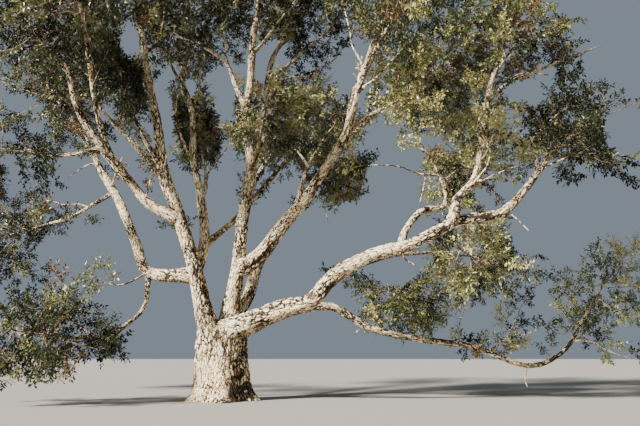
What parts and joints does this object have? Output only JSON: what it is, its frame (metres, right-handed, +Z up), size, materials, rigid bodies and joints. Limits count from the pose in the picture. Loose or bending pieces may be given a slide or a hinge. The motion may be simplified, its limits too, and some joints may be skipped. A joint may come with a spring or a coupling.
{
  "type": "oak tree",
  "caption": "Large old spreading oak with a short flared bole that forks low into pale stems, long reaching boughs and an open crown of separate leaf masses.",
  "frame": {"origin": "on the flat cut under the bole, at ground level", "axes": "+Z up; +X towards the long arching bough, which is the right side of the picture; +Y away from the viewer"},
  "size_m": [32.0053, 21.8732, 20.2588],
  "materials": {
    "bark": "pale plated bark with dark cracks",
    "leaves": "olive leaves, dull with pale glints"
  },
  "bodies": {
    "root": {"trunk": "bark", "left_stem": "bark", "left_bough": "bark", "left_side_bough": "bark", "left_inner_bough": "bark", "inner_stem": "bark", "inner_shoot": "bark", "cross_bough": "bark", "elbow_bough": "bark", "elbow_side_bough": "bark", "low_left_bough": "bark", "middle_stem": "bark", "middle_front_bough": "bark", "middle_high_bough": "bark", "right_stem": "bark", "right_inner_bough": "bark", "right_side_bough": "bark", "arching_bough": "bark", "arch_rising_bough": "bark", "arch_upright_bough": "bark", "arch_outer_bough": "bark", "arch_hanging_bough": "bark", "low_right_bough": "bark", "low_right_shoot": "bark", "back_left_bough": "bark", "back_middle_bough": "bark", "back_right_bough": "bark", "back_low_bough": "bark", "front_left_bough": "bark", "front_right_bough": "bark", "leaves_left_stem": "leaves", "leaves_left_bough": "leaves", "leaves_left_side_bough": "leaves", "leaves_left_inner_bough": "leaves", "leaves_inner_stem": "leaves", "leaves_inner_shoot": "leaves", "leaves_cross_bough": "leaves", "leaves_elbow_bough": "leaves", "leaves_elbow_side_bough": "leaves", "leaves_low_left_bough": "leaves", "leaves_middle_stem": "leaves", "leaves_middle_front_bough": "leaves", "leaves_middle_high_bough": "leaves", "leaves_right_stem": "leaves", "leaves_right_inner_bough": "leaves", "leaves_right_side_bough": "leaves", "leaves_arching_bough": "leaves", "leaves_arch_rising_bough": "leaves", "leaves_arch_upright_bough": "leaves", "leaves_arch_outer_bough": "leaves", "leaves_arch_hanging_bough": "leaves", "leaves_low_right_bough": "leaves", "leaves_low_right_shoot": "leaves", "leaves_back_left_bough": "leaves", "leaves_back_middle_bough": "leaves", "leaves_back_right_bough": "leaves", "leaves_back_low_bough": "leaves", "leaves_front_left_bough": "leaves", "leaves_front_right_bough": "leaves"}
  },
  "joints": []
}
